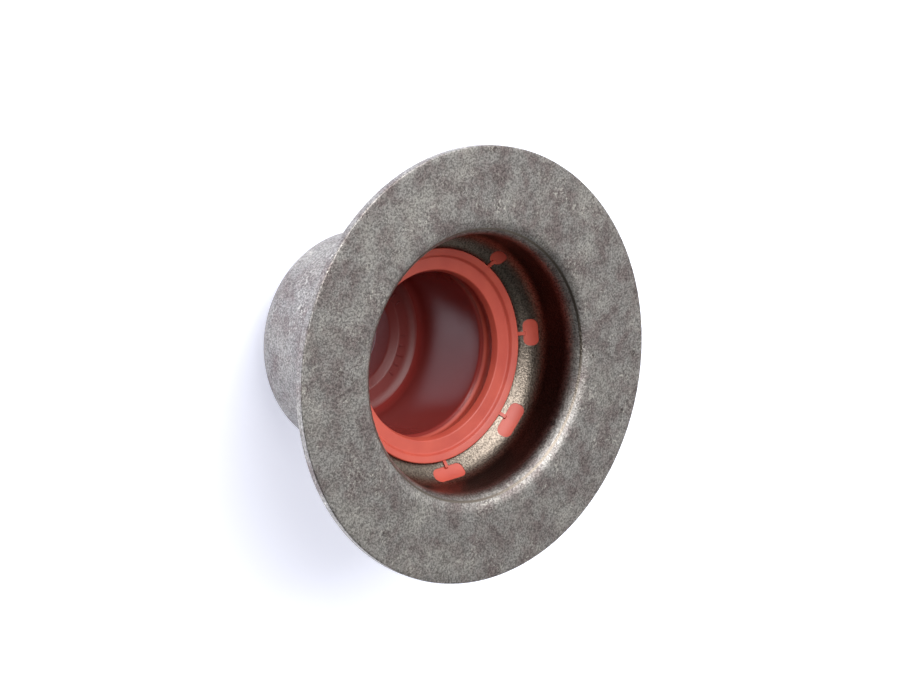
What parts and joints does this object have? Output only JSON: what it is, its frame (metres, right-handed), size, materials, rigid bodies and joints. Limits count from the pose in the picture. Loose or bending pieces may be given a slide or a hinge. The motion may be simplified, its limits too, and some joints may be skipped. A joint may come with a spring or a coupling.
{
  "type": "valve stem seal",
  "caption": "Valve stem seal: drawn steel case with a flat spring-seat flange and slotted shoulder, lined with a rubber bore and stem lip closed by a garter spring.",
  "frame": {"origin": "on the seal's axis, in the plane of the end face of the stem lip that it stands on", "axes": "+Z along the seal's axis, from the stem lip to the open side that goes over the valve guide; +Y and +X across it, with the slots at odd multiples of 22.5 degrees"},
  "size_m": [0.034, 0.034, 0.0202],
  "materials": {
    "phosphated_steel": "matt, phosphated and scuffed",
    "fluoro_rubber": "matt, as moulded",
    "spring_wire": "drawn wire, bright"
  },
  "bodies": {
    "root": {"steel_case": "phosphated_steel", "rubber_seal": "fluoro_rubber", "garter_spring": "spring_wire"}
  },
  "joints": []
}
